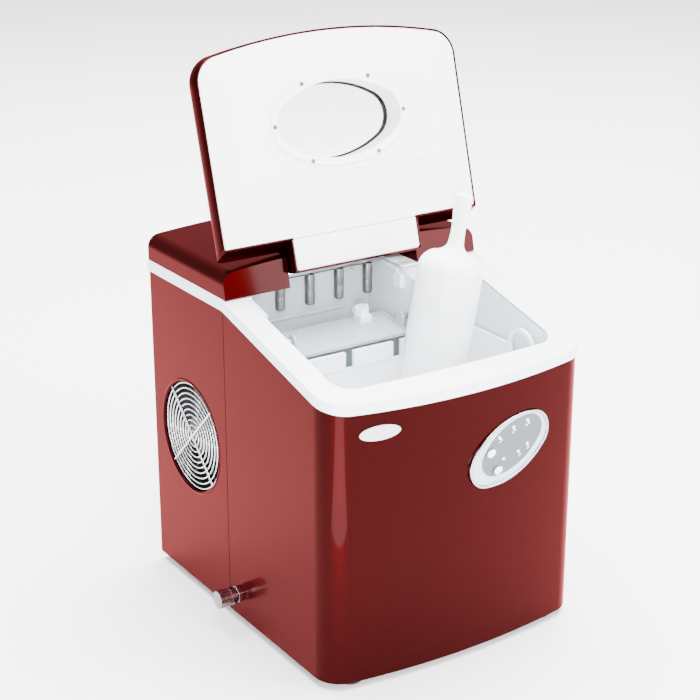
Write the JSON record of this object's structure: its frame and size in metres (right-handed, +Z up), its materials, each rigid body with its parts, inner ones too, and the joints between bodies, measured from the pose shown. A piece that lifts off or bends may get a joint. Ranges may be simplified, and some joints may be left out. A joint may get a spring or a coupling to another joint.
{
  "type": "countertop ice maker",
  "caption": "Portable countertop ice maker with hinged windowed lid, lift-out basket, scoop, tipping water tray, cooling fingers, fan and oval control panel.",
  "frame": {"origin": "on the surface it stands on, under the middle of its bounding box", "axes": "+Z up, -Y the front with the control panel, +X to the right when facing the front from outside looking along +Y"},
  "size_m": [0.32, 0.3507, 0.5682],
  "materials": {
    "red_shell": "candy red, high gloss",
    "white_plastic": "white, smooth gloss",
    "liner_plastic": "cool white, satin",
    "foam": "rigid foam",
    "chrome": "polished",
    "dark_chrome": "dark polished",
    "panel_silver": "pale silver, gloss",
    "panel_grey": "grey, gloss",
    "lamp": "frosted lamp",
    "board": "printed board",
    "badge_white": "pearl white, blank",
    "hose": "milky silicone",
    "black_plastic": "fine grain",
    "fin_aluminium": "mill finish",
    "black_paint": "semi gloss",
    "rubber_black": "matte",
    "copper": "bright copper tube",
    "finger_steel": "brushed, nickel plated",
    "tray_plastic": "grey-blue, slightly frosted",
    "steel": "zinc plated",
    "motor_grey": "moulded",
    "blue_plastic": "moulded",
    "dark_steel": "zinc coated, dark",
    "lens": "clear",
    "basket_white": "white, smooth gloss",
    "scoop_white": "white, smooth gloss"
  },
  "bodies": {
    "cabinet": {"base_pan": "dark_steel", "feet": "rubber_black", "front_shell": "red_shell", "rear_shell": "red_shell", "bezel": "white_plastic", "top_cover": "red_shell", "bin_liner": "liner_plastic", "insulation": "foam", "control_rim": "chrome", "control_plate": "panel_silver", "control_pad": "panel_grey", "indicator_lights": "lamp", "control_board": "board", "badge": "badge_white", "drain_nipple": "chrome", "drain_nut": "chrome", "drain_hose": "hose", "fan_grille": "chrome", "fan_frame": "black_plastic", "condenser": "fin_aluminium", "compressor": "black_paint", "compressor_mounts": "rubber_black", "filter_drier": "copper", "discharge_pipe": "copper", "liquid_line": "copper", "capillary_tube": "copper", "suction_pipe": "copper", "evaporator": "finger_steel", "cooling_fingers": "finger_steel", "ice_sensor": "black_plastic", "tray_motor": "motor_grey", "water_pump": "motor_grey", "water_tube": "hose", "power_board": "board", "power_inlet": "black_plastic", "case_screws": "steel", "hinge_pins": "steel"},
    "lid": {"lid_shell": "red_shell", "lid_tongue": "red_shell", "lid_liner": "white_plastic", "window_ring": "white_plastic", "window_lens": "lens", "window_screws": "steel"},
    "tray": {"water_tray": "tray_plastic", "tray_bracket": "white_plastic", "tray_shaft": "steel"},
    "fan": {"fan_rotor": "black_plastic"},
    "impeller": {"pump_impeller": "blue_plastic"},
    "power_button": {"power_button": "white_plastic"},
    "select_button": {"select_button": "white_plastic"},
    "drain_cap": {"drain_cap": "dark_chrome"},
    "basket": {"basket": "basket_white"},
    "scoop": {"scoop": "scoop_white"}
  },
  "joints": [
    {"name": "lid_hinge", "type": "hinge", "parent": "cabinet", "child": "lid", "pos_m": [0.012, 0.0301, 0.358], "axis": [-1, 0, 0], "range_deg": [-120, 0]},
    {"name": "tray_tip", "type": "hinge", "parent": "cabinet", "child": "tray", "pos_m": [0.012, 0.0075, 0.285], "axis": [1, 0, 0], "range_deg": [0, 80]},
    {"name": "fan_spin", "type": "hinge", "parent": "cabinet", "child": "fan", "pos_m": [-0.118, 0.096, 0.1687], "axis": [1, 0, 0], "continuous": true},
    {"name": "impeller_spin", "type": "hinge", "parent": "cabinet", "child": "impeller", "pos_m": [0.11, 0.0435, 0.02], "axis": [0, 0, 1], "continuous": true},
    {"name": "power_button_press", "type": "slide", "parent": "cabinet", "child": "power_button", "axis": [-0.0636, 0.998, 0], "range_m": [0, 0.001], "stiffness_N_per_m": 300},
    {"name": "select_button_press", "type": "slide", "parent": "cabinet", "child": "select_button", "axis": [-0.0636, 0.998, 0], "range_m": [0, 0.001], "stiffness_N_per_m": 300},
    {"name": "drain_cap_off", "type": "slide", "parent": "cabinet", "child": "drain_cap", "axis": [-1, 0, 0], "range_m": [0, 0.03]},
    {"name": "basket_lift", "type": "slide", "parent": "cabinet", "child": "basket", "axis": [0, 0, 1], "range_m": [0, 0.12]},
    {"name": "scoop_swing", "type": "hinge", "parent": "basket", "child": "scoop", "pos_m": [0.065, -0.0475, 0.265], "axis": [0, -1, 0], "range_deg": [0, 100]}
  ],
  "couplings": [
    {"joint": "scoop_swing", "follows": "lid_hinge", "ratio": -0.8166}
  ]
}
